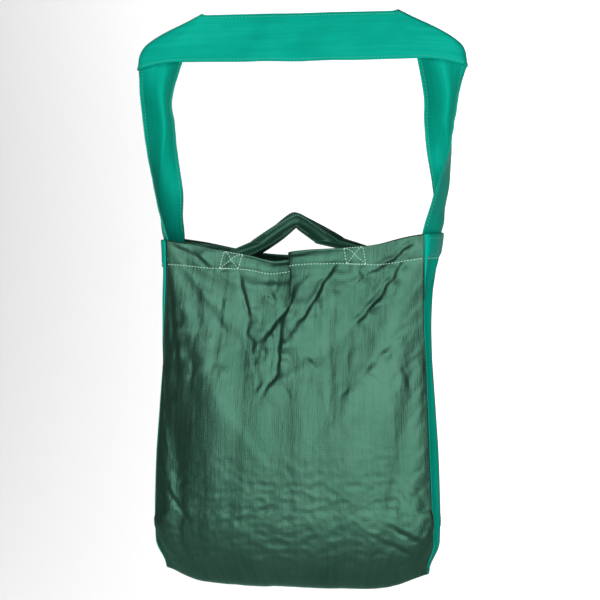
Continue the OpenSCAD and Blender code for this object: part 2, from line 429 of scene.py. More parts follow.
WALL_CELLS = 68
BASE_CELLS = 12
SIDE_CELLS = 56
rows_total = 2 * WALL_CELLS + BASE_CELLS
edge_line = outline(WALL_CELLS, BASE_CELLS, EDGE_BELLY)
middle_line = outline(WALL_CELLS, BASE_CELLS, BELLY)
across = np.linspace(-1, 1, SIDE_CELLS + 1)
crown = (1 - np.abs(across) ** 3)[None, :, None]
start_yz = edge_line[:, None] * (1 - crown) + middle_line[:, None] * crown
FLARE = 9 * MM            # the filled bag is this much wider each side than its hem
wide = SIDE + FLARE * ease((HEM_Z - start_yz[:, :1, 1] - STRAIGHT) / (2 * SWELL))
start = np.concatenate([(across[None, :] * wide)[..., None], start_yz], -1)
print("panel grid", start.shape)


# %% Weld the panel and the gussets
def gusset_start(sign):
    """Rows down the gusset, columns from its front seam to its back seam."""
    column = 0 if sign < 0 else SIDE_CELLS
    front = start[:WALL_CELLS + 1, column]
    rear = start[::-1][:WALL_CELLS + 1, column]
    share = np.linspace(0, 1, BASE_CELLS + 1)[None, :, None]
    grid = front[:, None] * (1 - share) + rear[:, None] * share
    grid[-1] = start[WALL_CELLS:WALL_CELLS + BASE_CELLS + 1, column]
    return grid


panel_index = np.arange(start.shape[0] * start.shape[1]).reshape(start.shape[:2])
shell_points = [start.reshape(-1, 3)]
gusset_index = {}
used = panel_index.size
for sign in (-1, 1):
    grid = gusset_start(sign)
    index = np.full(grid.shape[:2], -1)
    column = 0 if sign < 0 else SIDE_CELLS
    index[:, 0] = panel_index[:WALL_CELLS + 1, column]
    index[:, -1] = panel_index[::-1][:WALL_CELLS + 1, column]
    index[-1] = panel_index[WALL_CELLS:WALL_CELLS + BASE_CELLS + 1, column]
    free = index < 0
    index[free] = used + np.arange(free.sum())
    shell_points.append(grid[free])
    used += free.sum()
    gusset_index[sign] = index
shell_points = np.concatenate(shell_points)


def quads_of(index, flip=False):
    quads = np.stack([index[:-1, :-1], index[1:, :-1], index[1:, 1:], index[:-1, 1:]], -1)
    return (quads[..., ::-1] if flip else quads).reshape(-1, 4)


shell_faces = np.concatenate([quads_of(panel_index), quads_of(gusset_index[-1], True),
                              quads_of(gusset_index[1])])
print("bag shell", len(shell_points), "points")


# %% Hang it in a simulation
SIM_FRAMES = 46
SLACK = 0.006             # cloth let out by this share
SEWN = end_high.z - end_low.z             # length of strap held inside the hem


def hang(points, faces):
    mesh = bpy.data.meshes.new("bag_shell")
    mesh.from_pydata(points.tolist(), [], faces.tolist())
    shell = bpy.data.objects.new("bag_shell", mesh)
    bpy.context.collection.objects.link(shell)
    activate(shell)
    held = shell.vertex_groups.new(name="held")
    filled = shell.vertex_groups.new(name="filled")
    depth = HEM_Z - points[:, 2]
    at_side = np.abs(np.abs(points[:, 0]) - SIDE) < 0.5 * MM
    for i in np.nonzero(at_side & (depth < SEWN))[0]:
        held.add([int(i)], 1.0, "REPLACE")
    for i, share in enumerate(ease((depth - 0.12) / 0.25)):
        filled.add([i], float(share), "REPLACE")
    cloth = shell.modifiers.new("Cloth", "CLOTH")
    cloth.settings.quality = 7
    cloth.settings.mass = 0.12
    cloth.settings.tension_stiffness = 70
    cloth.settings.compression_stiffness = 70
    cloth.settings.shear_stiffness = 8
    cloth.settings.bending_stiffness = 0.12
    cloth.settings.tension_damping = 8
    cloth.settings.compression_damping = 8
    cloth.settings.air_damping = 2
    cloth.settings.vertex_group_mass = "held"
    cloth.settings.shrink_min = -SLACK
    cloth.settings.use_pressure = True
    cloth.settings.uniform_pressure_force = 3.2
    cloth.settings.vertex_group_pressure = "filled"
    cloth.collision_settings.use_self_collision = False
    cloth.point_cache.frame_start, cloth.point_cache.frame_end = 1, SIM_FRAMES
    for step in range(1, SIM_FRAMES + 1):
        bpy.context.scene.frame_set(step)
    bpy.ops.object.modifier_apply(modifier="Cloth")
    hung = np.empty(len(points) * 3)
    shell.data.vertices.foreach_get("co", hung)
    bpy.context.scene.frame_set(1)
    bpy.data.objects.remove(shell, do_unlink=True)
    return hung.reshape(-1, 3)


shell_hung = hang(shell_points, shell_faces)
panel_hung = shell_hung[panel_index]
print("hung panel from", panel_hung.min((0, 1)).round(3), "to", panel_hung.max((0, 1)).round(3))
print("hem sags", round(float(HEM_Z - panel_hung[0, SIDE_CELLS // 2, 2]) / MM, 1), "mm")

# %% [markdown]
# ## From the hung shell to this bag's own shape
# The simulation gives the slack and the sag, but it draws broad folds that this bag
# doesn't show, and it knows nothing of the weight that rounds the base. So the shell is
# refined and then corrected in code: the walls are eased towards the planned outline,
# the base is rolled round, the hem is drawn together, the sides are drawn in, and the
# whole bag is tilted a little. From here on the shape is laid, not simulated.

# %% Refine the hung panel
FRONT_ROWS, BASE_ROWS, BACK_ROWS, FINE_COLUMNS = 166, 26, 104, 132
panel_rows = np.concatenate([np.linspace(0, WALL_CELLS, FRONT_ROWS + 1),
                             np.linspace(WALL_CELLS, WALL_CELLS + BASE_CELLS, BASE_ROWS + 1)[1:],
                             np.linspace(WALL_CELLS + BASE_CELLS, rows_total, BACK_ROWS + 1)[1:]])
panel_columns = np.linspace(0, SIDE_CELLS, FINE_COLUMNS + 1)
panel = refined(panel_hung, panel_rows, panel_columns)
cell = CUT / WALL_CELLS
flat_x = np.broadcast_to((panel_columns / SIDE_CELLS * 2 - 1) * SIDE, panel.shape[:2])
flat_v = np.broadcast_to((panel_rows * cell)[:, None], panel.shape[:2])
strip = rows_total * cell
front_v = flat_v
back_v = strip - flat_v
print("fine panel", panel.shape, "flat strip", round(strip, 3))


# %% Ease the simulated drape
EASED = 0.6                # share of the way to the planned outline
planned = refined(start, panel_rows, panel_columns)
wall = ease(np.minimum(front_v, back_v) / 0.1)
panel[..., 1] += EASED * wall * (planned[..., 1] * 0.94 - panel[..., 1])


# %% Round the base
ROLL = 0.10                # height of the wall that rolls under into the base
roll_rows = np.nonzero((front_v[:, 0] >= CUT - ROLL) & (back_v[:, 0] >= CUT - ROLL))[0]
first, last = roll_rows[0], roll_rows[-1]
turns = np.linspace(0, np.pi, 400)
arc = np.hypot(np.gradient(0.5 * np.cos(turns)), np.gradient(np.sin(turns)))
arc = np.cumsum(arc) / arc.sum()
share = (flat_v[first:last + 1, :1] - flat_v[first, 0]) / (flat_v[last, 0] - flat_v[first, 0])
angle = np.interp(share, arc, turns)
above, beyond = panel[first], panel[last]
lowest_z = panel[first:last + 1, :, 2].min(0)
round_y = (above[:, 1] + beyond[:, 1]) / 2 + (above[:, 1] - beyond[:, 1]) / 2 * np.cos(angle)
rim_z = above[:, 2] + (beyond[:, 2] - above[:, 2]) * (1 - np.cos(angle)) / 2
round_z = rim_z - (rim_z - lowest_z) * np.sin(angle)
blend_in = ease(np.minimum(share, 1 - share) / 0.08)
rolled = panel[first:last + 1].copy()
rolled[..., 1] += blend_in * (round_y - rolled[..., 1])
rolled[..., 2] += blend_in * (round_z - rolled[..., 2])
panel[first:last + 1] = rolled
print("base rounded over rows", first, "to", last)


# %% Draw the mouth together
def gather_mouth(grid, x, v, side):
    """The hem's middle is pulled in a little past the line between the sling's ends."""
    near = 1 - ease(v / (90 * MM))
    target = side * (MOUTH - 5 * MM * (1 - (x / SIDE) ** 2))
    out = grid.copy()
    out[..., 1] += near * (target - out[..., 1])
    return out


panel = gather_mouth(panel, flat_x, front_v, -1)
panel = gather_mouth(panel, flat_x, back_v, 1)
low_left = 5 * MM * np.exp(-((flat_x + 0.10) / 0.06) ** 2)
low_middle = 8 * MM * np.exp(-((flat_x + 0.03) / 0.03) ** 2)
low_right = 4 * MM * np.exp(-((flat_x - 0.13) / 0.04) ** 2)
panel[..., 2] -= (1 - ease(front_v / 0.14)) * (low_left + low_middle + low_right)
panel[..., 2] -= (1 - ease(back_v / 0.14)) * 6 * MM * (1 - (flat_x / SIDE) ** 2)


# %% Draw the sides in
DRAW = 0.965               # half width of the hung mouth over its flat half width
FULL = 0.09                # and how much wider the bag is than that near its base


def drawn_in(grid, x, v):
    """Sagging draws the mouth's sides together, and the side seams pinch the depth."""
    out = grid.copy()
    width = SIDE * (DRAW + FULL * ease(v / 0.45) - 0.06 * ease((v - 0.44) / 0.05))
    to_right = (x / SIDE + 1) / 2
    out[..., 0] *= width / (out[:, -1:, 0] * to_right - out[:, :1, 0] * (1 - to_right))
    pinch = np.interp(v, (0, 0.04, 0.1, 0.175, 0.25, 0.3, 0.38, 0.5),
                      (0, 0.17, 0.4, 0.64, 0.58, 0.5, 0.52, 0.66))
    out[..., 1] *= 1 - pinch * np.abs(x / SIDE) ** 5
    out[..., 2] = HEM_Z + (out[..., 2] - HEM_Z) * 1.012
    return out


panel = drawn_in(panel, flat_x, np.minimum(front_v, back_v))


# %% The bag hangs a little askew
SKEW = 0.034


def settled(points):
    """The left side hangs lower than the right, fading out up the sling's legs."""
    out = points.copy()
    below = HEM_Z - out[..., 2]
    out[..., 0] += 3 * MM * ease(out[..., 2] / HEM_Z) - 7 * MM * ease(below / 0.15)
    out[..., 2] += SKEW * out[..., 0] * ease(out[..., 2] / HEM_Z)
    return out


# %% [markdown]
# ## Creases
# A light nylon bag holds sharp creases where its load runs: from the sling corners
# and the handle stitching towards the middle of the front. Each crease is a path on
# the flat panel with a depth and a width. The cloth sinks on one side of the path and
# rises in a crest on the other. Noise adds fine crinkle, most of it in the lower third.


# %% One crease
def crease(x, v, path, depth, width, lean=1):
    """Height of a crease along a path of (x, v) in millimetres, tapered at both ends."""
    path = np.array(path, float) * MM
    depth, width = depth * MM, width * MM
    legs = np.linalg.norm(np.diff(path, axis=0), axis=1)
    total, run = legs.sum(), 0.0
    nearest = np.full(x.shape, 1e9)
    side = np.zeros(x.shape)
    place = np.zeros(x.shape)
    wander = 2.2 * MM * lattice_noise(x / 0.018, v / 0.018, 5)
    for a, b, leg in zip(path, path[1:], legs):
        d = (b - a) / leg
        rx, rv = x - a[0] + wander, v - a[1] + wander
        t = np.clip(rx * d[0] + rv * d[1], 0, leg)
        dx, dv = rx - t * d[0], rv - t * d[1]
        dist = np.hypot(dx, dv)
        closer = dist < nearest
        nearest = np.where(closer, dist, nearest)
        side = np.where(closer, np.sign(dx * d[1] - dv * d[0]), side)
        place = np.where(closer, (run + t) / total, place)
        run += leg
    taper = np.sin(np.pi * np.clip(place, 0.02, 0.98)) ** 0.6
    s = nearest * side * lean / width
    step = ease((s + 0.5) / 1.4)
    crest = 0.65 * step * np.exp(-np.maximum(s - 0.9, 0) / 4.5)
    uneven = 0.85 + 0.7 * lattice_noise(x / 0.021 + 3, v / 0.017, 6)
    return 0.82 * depth * taper * uneven * (crest - 0.45 * np.exp(-1.2 * (s + 0.6) ** 2))


# %% Where the front creases
FRONT_CREASES = [  # path in x and depth below the hem, then depth, width and high side
    ([(-194, 3), (-150, 17), (-122, 37)], 6, 3.5, 1),
    ([(-120, 38), (-104, 30), (-88, 24)], 3, 3, 1),
    ([(-81, 38), (-70, 74), (-57, 112)], 6, 3.5, 1),
    ([(-58, 104), (-62, 130), (-40, 150)], 2.5, 3, 1),
    ([(72, 28), (38, 86), (12, 126)], 8, 4, 1),
    ([(22, 56), (-6, 100), (-40, 142)], 7, 4, 1),
    ([(-8, 96), (-10, 140), (-12, 184), (-34, 222)], 7, 3.5, 1),
    ([(-32, 120), (-22, 150), (-28, 185)], 4, 3, -1),
    ([(194, 4), (150, 30), (103, 54)], 6, 4, 1),
    ([(172, 30), (138, 78), (98, 126)], 7, 4, 1),
    ([(98, 40), (108, 52), (90, 64)], 3, 3, 1),
    ([(192, 118), (150, 150), (108, 196)], 2.2, 4, 1),
    ([(195, 168), (168, 188), (140, 222)], 2.2, 4, 1),
    ([(-190, 60), (-178, 120), (-160, 200)], 6, 6, 1),
    ([(-197, 110), (-188, 180), (-176, 260)], 5, 6, 1),
    ([(-190, 330), (-166, 365), (-132, 396)], 5, 5, 1),
    ([(-196, 372), (-180, 400), (-160, 412)], 3, 4, 1),
    ([(-140, 50), (-136, 130), (-142, 240)], 1.6, 6, 1),
    ([(-100, 60), (-104, 150), (-112, 230)], 1.6, 6, 1),
    ([(60, 60), (58, 150), (66, 260)], 1.8, 6, -1),
    ([(96, 90), (92, 180), (80, 280)], 1.6, 7, 1),
    ([(130, 395), (160, 415), (188, 436)], 3, 4, 1),
    ([(110, 410), (146, 430), (176, 452)], 3, 4, 1),
]


def front_height(x, v):
    height = np.zeros(x.shape)
    for path, depth, width, lean in FRONT_CREASES:
        height += crease(x, v, path, depth, width, lean)
    for step in range(13):                    # puckers down the right seam
        at = 60 + 28 * step
        height += crease(x, v, [(198, at), (184, at + 16), (170, at + 36)], 1.1, 3, 1)
    for step in range(8):                     # and fewer down the left
        at = 90 + 44 * step
        height += crease(x, v, [(-198, at), (-186, at + 18), (-176, at + 40)], 1.4, 3.5, 1)
    chance = random.Random(4)
    for step in range(34):                    # short crumples, most of them round the middle
        cx, cv = chance.gauss(-30, 34), chance.gauss(150, 40)
        if step % 3 == 0:
            cx, cv = chance.uniform(-170, 180), chance.uniform(45, 240)
        turn, reach = chance.uniform(0.6, 2.4), chance.uniform(7, 17)
        dx, dv = reach * math.cos(turn), reach * math.sin(turn)
        path = [(cx - dx, cv - dv), (cx + 2, cv), (cx + dx, cv + dv)]
        height += crease(x, v, path, chance.uniform(1.2, 2.6), 2.4, chance.choice((-1, 1)))
    return height


def crinkle(x, v, seed):
    """Fine random crinkle: upright streaks, and sideways crumple in the lower third."""
    streak = lattice_noise(x / 0.014, v / 0.19, seed) * 0.28 * MM
    soft = lattice_noise(x / 0.045, v / 0.21, seed + 1) * 1.7 * MM
    ridged = 1 - 2 * np.abs(lattice_noise(x / 0.034 + v / 0.05, v / 0.016, seed + 2))
    low = ease((v - 0.27) / 0.1) * (1 - ease((v - 0.44) / 0.05))
    middle = np.exp(-((x + 0.03) / 0.13) ** 2)
    ridged_fine = 1 - 2 * np.abs(lattice_noise(x / 0.014, v / 0.012, seed + 3))
    return streak + soft + low * middle * 0.9 * MM * ridged + (0.12 + 0.4 * low) * MM * ridged_fine


# %% [markdown]
# ## The pleat in the front hem
# The hem is longer than the space between the sling's ends, so the front folds over
# itself once in the middle: the right part stands in front of the left. An S-shaped
# shift of the cloth does this. It fades out down the panel.

# %% Pleat and displace
PLEAT_X = -3 * MM
PLEAT_HALF = 17 * MM
PLEAT_SHIFT = 10.5 * MM
PLEAT_STEP = 11 * MM
PLEAT_FADE = 150 * MM


def pleated(grid, x, v):
    a = x - PLEAT_X - 0.06 * v
    fade = (1 - ease(v / PLEAT_FADE)) * (v < 0.25)
    inside = np.abs(a) < PLEAT_HALF
    turn = np.clip(a / PLEAT_HALF, -1, 1)
    away = np.exp(-(np.maximum(np.abs(a) - PLEAT_HALF, 0) / 0.05) ** 2)
    out = grid.copy()
    out[..., 0] -= fade * PLEAT_SHIFT * np.where(inside, np.sin(np.pi * turn), 0)
    out[..., 1] -= fade * PLEAT_STEP / 2 * np.sin(np.pi / 2 * turn) * away
    out[..., 2] += fade * 3.5 * MM * np.sin(np.pi / 2 * turn) * away
    return out


def hem_height(x, v):
    """The stitch line sinks into the hem, and the cloth puckers on both sides of it."""
    line = np.exp(-((v - HEM_LINE) / (2.2 * MM)) ** 2)
    near = np.exp(-((v - HEM_LINE) / (16 * MM)) ** 2)
    ripple = lattice_noise(x / 0.009, v / 0.2, 31) * 0.6 + lattice_noise(x / 0.024, v / 0.2, 32)
    return -0.7 * MM * line + 0.7 * MM * near * ripple


normal = normals_of(panel)
in_front = (flat_v <= CUT + 0.04)
height = np.where(in_front, front_height(flat_x, front_v), 0)
height += crinkle(flat_x, flat_v, 11) + hem_height(flat_x, front_v) + hem_height(flat_x, back_v)
for path, depth, width, lean in FRONT_CREASES[:3] + FRONT_CREASES[8:14]:
    height += np.where(back_v < CUT, crease(-flat_x * 0.97, back_v, path, 0.8 * depth, width, lean), 0)
calm_seam = 1 - np.exp(-((SIDE - np.abs(flat_x)) / (5 * MM)) ** 2)
calm_top = 0.35 + 0.65 * ease(np.minimum(front_v, back_v) / (12 * MM))
panel = panel + normal * (height * calm_seam * calm_top)[..., None]
panel = settled(pleated(panel, flat_x, front_v))
panel_normal = normals_of(panel)
print("creased panel spans", panel.min((0, 1)).round(3), panel.max((0, 1)).round(3))

# %% Panel mesh with a thicker hem
WALL_T = 0.9 * MM
HEM_T = 2.2 * MM


def thicken(obj, thick, thin_share=None, offset=-1):
    """Give a sheet its thickness, inwards from its outer face or evenly with offset 0."""
    solid = obj.modifiers.new("thickness", "SOLIDIFY")
    solid.thickness = thick
    solid.offset = offset
    solid.use_rim = True
    if thin_share is not None:
        group = obj.vertex_groups.new(name="thick")
        for i, share in enumerate(thin_share.ravel()):
            group.add([i], float(share), "REPLACE")
        solid.vertex_group = "thick"
    activate(obj)
    bpy.ops.object.modifier_apply(modifier="thickness")
    for group in list(obj.vertex_groups):
        obj.vertex_groups.remove(group)
    return obj


flat = np.stack([flat_x, flat_v], -1)
bag_panel = grid_object("bag_panel", panel, flat, panel_nylon)
from_mouth = np.minimum(front_v, back_v)
share = np.where(from_mouth < HEM_LINE + 1 * MM, 1.0, WALL_T / HEM_T)
thicken(bag_panel, HEM_T, share)
print("bag panel", len(bag_panel.data.polygons), "faces")

# %% [markdown]
# ## Side gussets
# Each gusset is the teal strip between the front and the back. It shares its seam
# with the panel's edge. Nylon doesn't shrink, so where the seams come closer together
# than the gusset is wide, the gusset has to fold. It bows out round the sling's end at
# the top. Below that it tucks in, as two tucks that merge into one, and every row is
# tucked just deep enough to keep the width it was cut with.


# %% How deep a row must tuck
def tuck_depth(gap, width, bowed, tuck):
    """Depth at which each row, bowed out and tucked in, is as long as the cloth is wide."""
    step = gap / GUSSET_COLUMNS
    shallow, deep = np.zeros_like(gap), np.full_like(gap, 80 * MM)
    for _ in range(24):
        depth = (shallow + deep) / 2
        length = np.hypot(step, np.diff(bowed - depth * tuck, axis=1)).sum(1, keepdims=True)
        shallow = np.where(length < width, depth, shallow)
        deep = np.where(length < width, deep, depth)
    return depth


# %% Gusset cloth
GUSSET_ROWS, GUSSET_COLUMNS = 166, 30
FOOT_BOW = 17 * MM          # the gusset's top bows out round the sling's end
BOW_FADE = {1: 0.11, -1: 0.26}   # depth where the right and left gussets stop bowing out
ONE_TUCK = {1: 0.04, -1: 0.14}   # depth where their two tucks start to merge into one
BASE_END = 25 * MM          # height above the base over which the fold runs out


def gusset_cloth(sign, name):
    column = 0 if sign < 0 else FINE_COLUMNS
    shape = (GUSSET_ROWS + 1, GUSSET_COLUMNS + 1)
    v = np.broadcast_to(np.linspace(0, CUT, GUSSET_ROWS + 1)[:, None], shape)
    share = np.broadcast_to(np.linspace(0, 1, GUSSET_COLUMNS + 1), shape)
    width = 2 * half_depth(v[:, :1], EDGE_BELLY)
    w = (share - 0.5) * width
    front = panel[:GUSSET_ROWS + 1, column]
    rear = along(panel[::-1, column], np.linspace(0, BACK_ROWS, GUSSET_ROWS + 1))
    grid = front[:, None] * (1 - share[..., None]) + rear[:, None] * share[..., None]
    base_edge = panel[FRONT_ROWS:FRONT_ROWS + BASE_ROWS + 1, column]
    base_edge = along(base_edge, np.linspace(0, BASE_ROWS, GUSSET_COLUMNS + 1))
    lowest = ease((v - (CUT - 45 * MM)) / (45 * MM))[..., None]
    grid = grid + (base_edge - grid[-1])[None] * lowest
    arch = np.sin(np.pi * share)
    bowed = FOOT_BOW * (1 - ease(v / BOW_FADE[sign])) * arch**0.5
    merged = ease((v - ONE_TUCK[sign]) / 0.11)
    tuck = (1 - merged) * np.sin(2 * np.pi * share) ** 2 + merged * arch**1.2
    gap = np.linalg.norm(front - rear, axis=-1)[:, None]
    depth = tuck_depth(gap, width, bowed, tuck)
    depth = depth * (1 - ease((v[:, :1] - CUT + BASE_END) / BASE_END))
    rise = lattice_noise(w / 0.014, v / 0.2, 41 + sign) * 1.5 * MM
    rise = rise + lattice_noise(w / 0.03, v / 0.06, 45 + sign) * 1.1 * MM + hem_height(w, v)
    grid[..., 0] += sign * (bowed - depth * tuck + rise * arch**0.5 * (1 - lowest[..., 0]))
    obj = grid_object(name, grid if sign > 0 else grid[:, ::-1],
                      np.stack([w, v], -1), band_nylon)
    thicken(obj, HEM_T, np.where(v < HEM_LINE + 1 * MM, 1.0, WALL_T / HEM_T))
    return obj, grid


right_gusset, right_grid = gusset_cloth(1, "right_gusset_cloth")
left_gusset, left_grid = gusset_cloth(-1, "left_gusset_cloth")
print("gussets", len(right_gusset.data.polygons), len(left_gusset.data.polygons), "faces")

# %% [markdown]
# ## The sling
# The sling is one wide band. Each end is sewn flat inside a gusset's hem. Going up, the
# leg cups lengthwise into an open channel and turns to face the front. Behind the
# shoulder it folds over diagonally, and runs across as a flat band standing on edge.
# It is laid out as cross-sections from the right foot to the middle of the run.


# %% Cross-sections of the right half
def leg_section(z, front, fold, rear):
    """Front edge, middle and back edge of the leg at one height, as x past the side and y."""
    side = DRAW * SIDE
    return [(side + x * MM, y * half, z) for x, y in (front, fold, rear)]


half = SLING_W / 2
SHOULDER_X = CORNER_X - 1.54 * SLING_W     # inner end of the diagonal fold
out_x = CORNER_X - 11 * MM
FOOT_IN = (HEM_T + 1.4 * MM) / MM
BOW_OUT = FOOT_BOW / MM - FOOT_IN
leg = [leg_section(HEM_Z - SEWN, (-FOOT_IN, -0.9), (BOW_OUT - 1, 0), (-FOOT_IN, 0.9)),
       leg_section(HEM_Z - 4 * MM, (-FOOT_IN, -0.92), (BOW_OUT, 0), (-FOOT_IN, 0.92)),
       leg_section(HEM_Z + 14 * MM, (1, -0.95), (BOW_OUT + 4, 0.05), (-2, 0.95)),
       leg_section(0.86 * HEM_Z, (8, -0.94), (19, 0.1), (-1, 0.9)),
       leg_section(0.73 * HEM_Z, (17, -0.84), (25, 0.15), (-4, 0.76)),
       leg_section(0.53 * HEM_Z, (32, -0.5), (24, 0.45), (-6, 0.1)),
       leg_section(0.36 * HEM_Z, (39, -0.42), (20, 0.55), (-6, -0.2)),
       leg_section(0.18 * HEM_Z, (46, -0.3), (22, 0.5), (-6, -0.34))]
fold_y = 4 * MM
shoulder = [
    [(out_x, 0, -0.26 * SLING_W), (out_x - half, 0.4 * half, 0.14 * SLING_W),
     (SHOULDER_X + 0.5 * half, 6 * MM, 0.54 * SLING_W)],
    [(out_x + 2 * MM, fold_y, -0.17 * SLING_W), (out_x - 12 * MM, fold_y, 0.3 * SLING_W),
     (SHOULDER_X, fold_y, 0.95 * SLING_W)],
    [(out_x - 2 * MM, -4 * MM, -0.13 * SLING_W), (out_x - 20 * MM, -4 * MM, 0.4 * SLING_W),
     (SHOULDER_X - 1 * MM, -1 * MM, 0.965 * SLING_W)],
    [(out_x - 42 * MM, -5 * MM, -0.01 * SLING_W), (SHOULDER_X + half, -5 * MM, 0.46 * SLING_W),
     (SHOULDER_X - 4 * MM, -2 * MM, 0.97 * SLING_W)],
    [(SHOULDER_X, -1 * MM, 0), (SHOULDER_X - 3 * MM, -1 * MM, half),
     (SHOULDER_X - 12 * MM, 0, 0.96 * SLING_W)]]
run = [[(SHOULDER_X * f, 0, -f * MM), (SHOULDER_X * f, wave * MM, half),
        (SHOULDER_X * f, 0, 0.96 * SLING_W)] for f, wave in ((0.6, 2.5), (0.3, -1.5))]
right_half = np.array(leg + shoulder + run, float)
middle_section = np.array([[(0, 0, -1.5 * MM), (0, 1 * MM, half), (0, 0, 0.955 * SLING_W)]])
left_half = right_half[::-1] * (-1, 1, 1)
sections = np.concatenate([right_half, middle_section, left_half])
print("sling sections", sections.shape)

# %% The sling's surface
SLING_COLUMNS = 24
steps = np.linalg.norm(np.diff(sections, axis=0), axis=-1).mean(1)
steps = np.maximum(steps, 8 * MM)
counts = np.maximum(np.round(steps / (4.2 * MM)).astype(int), 3)
sling_rows = np.concatenate([[0]] + [i + np.arange(1, n + 1) / n for i, n in enumerate(counts)])
sling = refined(sections, sling_rows, np.linspace(0, 2, SLING_COLUMNS + 1))
lengths = np.linalg.norm(np.diff(sling[:, SLING_COLUMNS // 2], axis=0), axis=-1)
sling_v = np.concatenate([[0], np.cumsum(lengths)])
SLING_L = float(sling_v[-1])
sling_v = np.broadcast_to(sling_v[:, None], sling.shape[:2])
sling_w = np.broadcast_to(np.linspace(0, SLING_W, SLING_COLUMNS + 1), sling.shape[:2])
ripple = 0.8 * MM * lattice_noise(sling_w / 0.016, sling_v / 0.09, 71)
ripple += 0.45 * MM * lattice_noise(sling_w / 0.02, sling_v / 0.02, 72)
edge_pull = np.minimum(sling_w, SLING_W - sling_w)
pucker = 0.5 * MM * np.exp(-(edge_pull / (5 * MM)) ** 2) * lattice_noise(sling_w / 0.05, sling_v / 0.011, 73)
at_foot = ease(np.minimum(sling_v, SLING_L - sling_v) / 0.07)
sling = settled(sling + normals_of(sling) * ((ripple + pucker) * at_foot)[..., None])
sling_band = grid_object("sling_band", sling, np.stack([sling_w, sling_v], -1), band_nylon)
SLING_T = 1.6 * MM
thicken(sling_band, SLING_T, offset=0)
print("sling", len(sling_band.data.polygons), "faces, length", round(SLING_L, 3))

# %% [markdown]
# ## Handles
# Each handle is one strap of webbing, sewn inside the hem at both ends. It leans in to
# the middle and is creased where its two legs meet, so it stands as a low pointed loop.


# %% Points on the panel
def on_panel(x, v, lift=0.0, side=-1):
    """Points and normals of the panel at flat x and depth v below the front or back hem."""
    row = v / CUT * FRONT_ROWS
    if side > 0:
        row = len(panel) - 1 - v / CUT * BACK_ROWS
    column = (x / SIDE + 1) / 2 * FINE_COLUMNS
    out = unit(read_at(panel_normal, row, column))
    return read_at(panel, row, column) + out * lift, out


# %% Handle straps
APEX_Z = HEM_Z + 33 * MM      # top of the pointed loop
APEX_DROP = 20 * MM           # height of the crease where the legs meet
SLOPE = 0.66                  # of each leg
LEG_SPREAD = 68 * MM          # outer edge of a leg where it passes behind the hem
TIP_ROUND = 7 * MM
STRAP_T = 1.9 * MM
STRAP_COLUMNS = 10
LEG_STEPS = 22
LEAVING = [(85, 1), (91, 6), (93.5, 14), (95, 22), (96.5, 31)]   # middle's x, depth below hem


def sewn_end(way, side):
    """Outer and inner edge of a strap's end, just inside the hem."""
    rows = []
    for centre, v in LEAVING:
        edges = [on_panel(np.array(way * (centre * MM + shift * STRAP_W / 2)), np.array(v * MM),
                          -(HEM_T + STRAP_T / 2 + 0.7 * MM), side)[0] for shift in (1, -1)]
        rows.append(edges)
    return np.array(rows)


def strap_leg(way, side, shift, drop):
    """Outer and inner edge of one leg, from the tip out to where it meets the hem."""
    outer = np.linspace(0, 1, LEG_STEPS) ** 1.1 * LEG_SPREAD
    inner = 0.5 * (outer - STRAP_W + np.sqrt((outer - STRAP_W) ** 2 + (6 * MM) ** 2))
    inner[0] = 0
    top = APEX_Z - drop
    outer_z = top - SLOPE * (np.sqrt(outer**2 + TIP_ROUND**2) - TIP_ROUND)
    inner_z = np.minimum(top - APEX_DROP - SLOPE * inner, outer_z)
    down = ease(outer / LEG_SPREAD)
    y = side * (14 * MM + (MOUTH - 22 * MM) * down)
    slide = shift * (1 - 0.4 * down)
    edges = [np.stack([way * x + slide, y, z], -1) for x, z in ((outer, outer_z), (inner, inner_z))]
    return settled(np.stack(edges, 1))


def handle_strap(name, side, shift, drop):
    halves = [np.concatenate([strap_leg(way, side, shift, drop), sewn_end(way, side)])
              for way in (-1, 1)]
    keys = np.concatenate([halves[0][::-1], halves[1][1:]])
    edges = along(keys, np.linspace(0, len(keys) - 1, 180))
    share = np.broadcast_to(np.linspace(0, 1, STRAP_COLUMNS + 1), (180, STRAP_COLUMNS + 1))
    grid = edges[:, :1] * (1 - share[..., None]) + edges[:, 1:] * share[..., None]
    step = np.linalg.norm(np.diff(grid.mean(1), axis=0), axis=-1)
    v = np.broadcast_to(np.concatenate([[0], np.cumsum(step)])[:, None], share.shape)
    free = ease((np.minimum(v, v.max() - v) - 15 * MM) / (35 * MM))
    slant = np.linalg.norm(edges[:, 0] - edges[:, 1], axis=-1)[:, None]
    cup = 9.5 * MM * free * np.clip(slant / STRAP_W, 0, 1)   # webbing is creased lengthwise
    grid[..., 1] -= side * cup * np.sin(np.pi * share)
    grid[..., 1] += 0.9 * MM * lattice_noise(share, v / 0.03, 81 + side) * free
    flat = np.stack([share * STRAP_W, v], -1)
    turned = (grid[:, ::-1], flat[:, ::-1]) if side < 0 else (grid, flat)
    obj = grid_object(name, *turned, webbing_with_painted_shade)
    thicken(obj, STRAP_T, offset=0)
    return obj, grid, float(v.max())


front_strap, front_grid, strap_length = handle_strap("front_strap", -1, 0, 0)
back_strap, back_grid, back_length = handle_strap("back_strap", 1, -13 * MM, -1 * MM)
print("straps", len(front_strap.data.polygons), "faces each, lengths",
      round(strap_length, 3), round(back_length, 3))

# %% [markdown]
# ## Stitches
# Thread is modelled stitch by stitch. One small bead of thread is modelled once. It is
# then copied along each seam, a thread's width above the finished cloth.

# %% One bead of thread
deselect()
bpy.ops.mesh.primitive_uv_sphere_add(segments=6, ring_count=4, radius=1)
bead = bpy.context.active_object
bead.name = "bead"
bead_points = np.array([v.co[:] for v in bead.data.vertices])[:, (2, 0, 1)]
bead_faces = [list(face.vertices) for face in bead.data.polygons]
bpy.data.objects.remove(bead, do_unlink=True)
THREAD = 0.6 * MM          # half the width of a stitch
print("bead of thread:", len(bead_faces), "faces")


